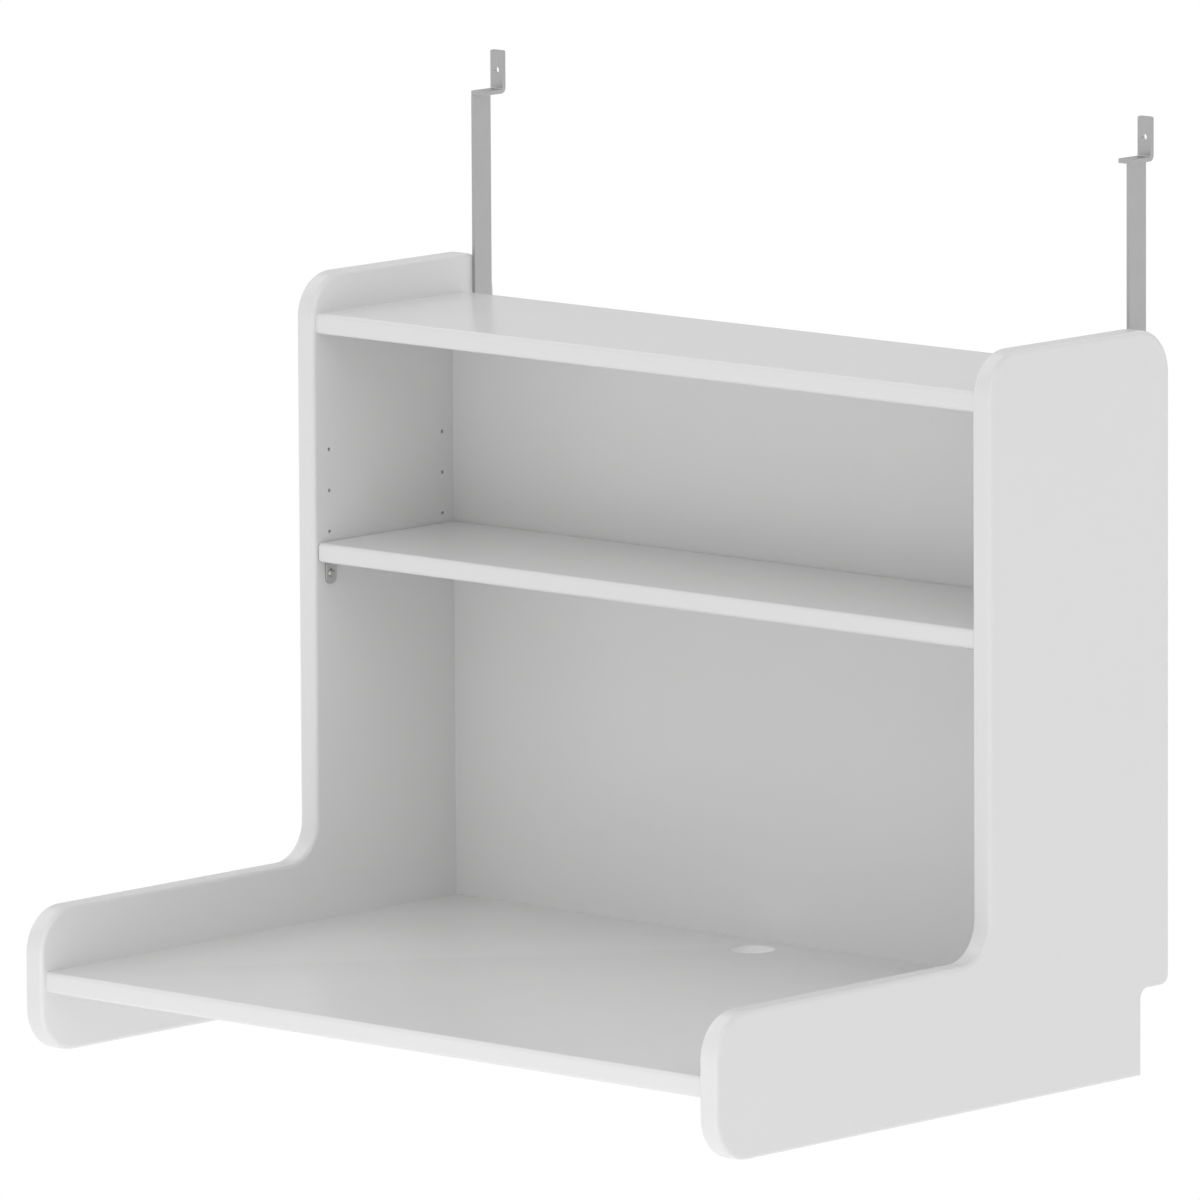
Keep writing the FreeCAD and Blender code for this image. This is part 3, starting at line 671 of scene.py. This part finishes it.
def screw_rings(head_radius, head_height, shank_radius, shank_length):
    """Rings from the middle of the recess out over the dome, under the head and down to the point.
    Dome: its height over the rim times the square root of 1 less the squared share of the radius.
    Thread: the radius times 1 less a fifth of how far the turn is from the crest."""
    turn = np.linspace(0.0, 2 * pi, SCREW_SIDES, endpoint=False)
    share = np.sin(np.linspace(0.04, 1.0, 26) * pi / 2)
    x = head_radius * share[:, None] * np.cos(turn)
    y = head_radius * share[:, None] * np.sin(turn)
    rim = RIM_SHARE * head_height
    dome = rim + (head_height - rim) * np.sqrt(1 - share ** 2)
    across = np.minimum(np.abs(x), np.abs(y))
    along = np.maximum(np.abs(x), np.abs(y))
    inside = (np.clip((BLADE - across) / WALL_SLOPE + 0.5, 0, 1)
              * np.clip((REACH - along) / END_SLOPE, 0, 1))
    head = np.stack([x, y, dome[:, None] - RECESS * inside], axis=-1)
    under = head[-1] * (1.0, 1.0, 0.0)

    down = np.arange(0.0, shank_length, PITCH / 6)
    threaded = (down > PLAIN_SHANK)[:, None]
    taper = np.clip((shank_length - down) / POINT_LENGTH, POINT_SHARE, 1)[:, None]
    phase = (turn / (2 * pi) + down[:, None] / PITCH) % 1.0
    thread = 1 - THREAD_DEPTH * np.abs(2 * phase - 1)
    r = shank_radius * taper * np.where(threaded, thread, PLAIN_SHARE)
    shank = np.stack([r * np.cos(turn), r * np.sin(turn), np.broadcast_to(-down[:, None], r.shape)],
                     axis=-1)
    return np.concatenate([head, [under], shank])


def towards(points, place, inward, spin):
    """Points made round the upright axis, spun about it, then laid along X so that up becomes
    inward (1 or -1), and moved to their place."""
    c, s = np.cos(spin), np.sin(spin)
    x, y, z = points[..., 0], points[..., 1], points[..., 2]
    return np.stack([inward * z, c * x - s * y, s * x + c * y], axis=-1) + place


# %% Drive six screws into the panels
screw_points = np.array([v.co for v in nodes["hanger_screws"].data.vertices])
screw_low, screw_high = screw_points.min(axis=0), screw_points.max(axis=0)
HEAD_RADIUS = (screw_high[1] - screw_low[1]) / 2
SHANK_RADIUS = 2.0 * MM
seat = abs(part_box("left_hanger_strap")[1][0])
head_height = seat - np.abs(screw_points[:, 0]).min()
shank_length = screw_high[0] - seat
rings = screw_rings(HEAD_RADIUS, head_height, SHANK_RADIUS, shank_length)
top = np.array([0.0, 0.0, head_height - RECESS])
point = np.array([0.0, 0.0, -shank_length])
SPINS = np.radians([12.0, 57.0, 31.0, 74.0, 5.0, 40.0])
screws = []
PER_SIDE = len(SPINS) // 2
for i, spin in enumerate(SPINS):
    inward = 1.0 if i < PER_SIDE else -1.0
    z = np.linspace(screw_low[2] + HEAD_RADIUS, screw_high[2] - HEAD_RADIUS, PER_SIDE)[i % PER_SIDE]
    place = np.array([-inward * seat, (screw_low[1] + screw_high[1]) / 2, z])
    screws.append(sealed(*(towards(p, place, inward, spin) for p in (rings, top, point))))
add_closed_piece("hanger_screws_cross_head", screws, bright_zinc_plate, "hanging_desk",
                 "screw_steel", "hanger_screws")
print("Screw heads are", round(2 * HEAD_RADIUS / MM, 1), "mm wide and",
      round(head_height / MM, 1), "mm high")

# %% [markdown]
# ## Support pins
#
# Each shelf support is a bent plate with a turned pin riveted in it. The pin plugs into a hole of
# the side panel, and its end is chamfered to find the hole. On the plate's face the riveted end
# spreads into a low dome. The pin is a surface of revolution: a list of radii and heights, carried
# once round its axis. The rounding of the dome follows a quarter of an ellipse.

# %% Turn the support pins
PIN_SIDES = 40
DOME_RADIUS, DOME_HEIGHT = 3.3 * MM, 1.8 * MM
CHAMFER = 0.6 * MM


def turned_rings(radii, heights):
    """Rings of a surface of revolution round the upright axis."""
    turn = np.linspace(0.0, 2 * pi, PIN_SIDES, endpoint=False)
    r = np.asarray(radii)[:, None]
    z = np.broadcast_to(np.asarray(heights)[:, None], (len(radii), PIN_SIDES))
    return np.stack([r * np.cos(turn), r * np.sin(turn), z], axis=-1)


for side, inward in (("left", 1.0), ("right", -1.0)):
    for depth in ("front", "rear"):
        cad = f"{depth}_{side}_support_pin"
        low, high = (np.array(c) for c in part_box(cad))
        radius, length = (high[2] - low[2]) / 2, high[0] - low[0]
        angle = np.linspace(0.08, pi / 2, 8)
        dome_r, dome_z = DOME_RADIUS * np.sin(angle), DOME_HEIGHT * np.cos(angle)
        radii = np.concatenate([dome_r, [radius, radius, radius - CHAMFER]])
        heights = np.concatenate([dome_z, [0.0, CHAMFER - length, -length]])
        place = np.array([-inward * min(abs(low[0]), abs(high[0])), (low[1] + high[1]) / 2,
                          (low[2] + high[2]) / 2])
        ends = np.array([0.0, 0.0, DOME_HEIGHT]), np.array([0.0, 0.0, -length])
        pin = sealed(*(towards(p, place, inward, 0.0) for p in (turned_rings(radii, heights), *ends)))
        add_closed_piece(f"{depth}_{side}_pin_riveted", [pin], pressed_nickel_plate,
                         f"{depth}_{side}_support", "support_nickel", cad)

# %% [markdown]
# ## Weld beads
#
# The ledge of each hook is welded across the end of its strap. A fillet weld is a short bead in
# the corner between the two, with the small ripples that the torch leaves. It could be carved,
# but a spindle is enough: rings along the corner line whose radius swells at once from the ends,
# stays level and ripples. Three quarters of it are inside the steel, and the visible quarter is
# the weld. The powder coat covers strap, bead and hook alike.

# %% Lay the weld beads
BEAD_RADIUS = 1.0 * MM
BEAD_RINGS, BEAD_SIDES = 61, 24
BEAD_MARGIN = 1.2 * MM


def bead(start, end):
    """Rings along Y from start to end. Radius: the bead's radius, times the square root of 1 less
    the sixth power of how far along the half length the ring is, times a ripple of 6 in 100."""
    t = np.linspace(-0.995, 0.995, BEAD_RINGS)[:, None]
    turn = np.linspace(0.0, 2 * pi, BEAD_SIDES, endpoint=False)
    r = BEAD_RADIUS * np.sqrt(1 - t ** 6) * (1 + 0.06 * np.sin(46.0 * t + 0.7 * np.sin(5 * t)))
    y = np.broadcast_to((start[1] + end[1]) / 2 + t * (end[1] - start[1]) / 2,
                        (BEAD_RINGS, BEAD_SIDES))
    return np.stack([start[0] + r * np.cos(turn), y, start[2] + r * np.sin(turn)], axis=-1)


for side in ("left", "right"):
    strap_low, strap_high = (np.array(c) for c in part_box(side + "_hanger_strap"))
    corner_x = strap_high[0] if side == "left" else strap_low[0]
    start = np.array([corner_x, strap_low[1] + BEAD_MARGIN, strap_high[2]])
    end = np.array([corner_x, strap_high[1] - BEAD_MARGIN, strap_high[2]])
    add_closed_piece(side + "_weld_bead", [sealed(bead(start, end), start, end)], hanger_powder_coat,
                     "hanging_desk", "hanger_steel")

# %% [markdown]
# ## Floor
#
# The floor is part of the studio and not of the desk. It is a wide sheet
# with the faintest unevenness of a painted ground, and it glows a little, as a lit table does.
# It sends light up under the shelves. A dark or missing floor would leave them in deep shade. To
# the camera it is plain white, like the sky, so that no horizon line shows behind the desk.

# %% Lay the floor
ground = Finish("pale_studio_floor", 0.8)
ground.mix_colour(ground.effect(patches, "Size", 0.9), (0.94, 0.94, 0.94), (0.96, 0.96, 0.96))
ground.vary_roughness(ground.effect(patches, "Size", 0.4), 0.75, 0.9)
ground.shader.inputs["Specular IOR Level"].default_value = 0.1
ground.shader.inputs["Emission Color"].default_value = WHITE
ground.shader.inputs["Emission Strength"].default_value = FLOOR_GLOW
floor_mesh = bpy.data.meshes.new("studio_floor")
h = FLOOR_HALF
floor_mesh.from_pydata([(-h, -h, FLOOR_Z), (h, -h, FLOOR_Z), (h, h, FLOOR_Z), (-h, h, FLOOR_Z)], [],
                       [(0, 1, 2, 3)])
pale_floor = ground.done()
floor_nodes, join = ground.tree.nodes, ground.tree.links.new
seen_floor = floor_nodes.new("ShaderNodeEmission")
either = floor_nodes.new("ShaderNodeMixShader")
ray = floor_nodes.new("ShaderNodeLightPath")
join(ray.outputs["Is Camera Ray"], either.inputs["Fac"])
join(ground.shader.outputs["BSDF"], either.inputs[1])
join(seen_floor.outputs["Emission"], either.inputs[2])
join(either.outputs["Shader"], floor_nodes["Material Output"].inputs["Surface"])
floor_mesh.materials.append(pale_floor)
floor = bpy.data.objects.new("studio_floor", floor_mesh)
scene.collection.objects.link(floor)
print("Floor", 2 * FLOOR_HALF, "m wide at a height of", FLOOR_Z, "m")
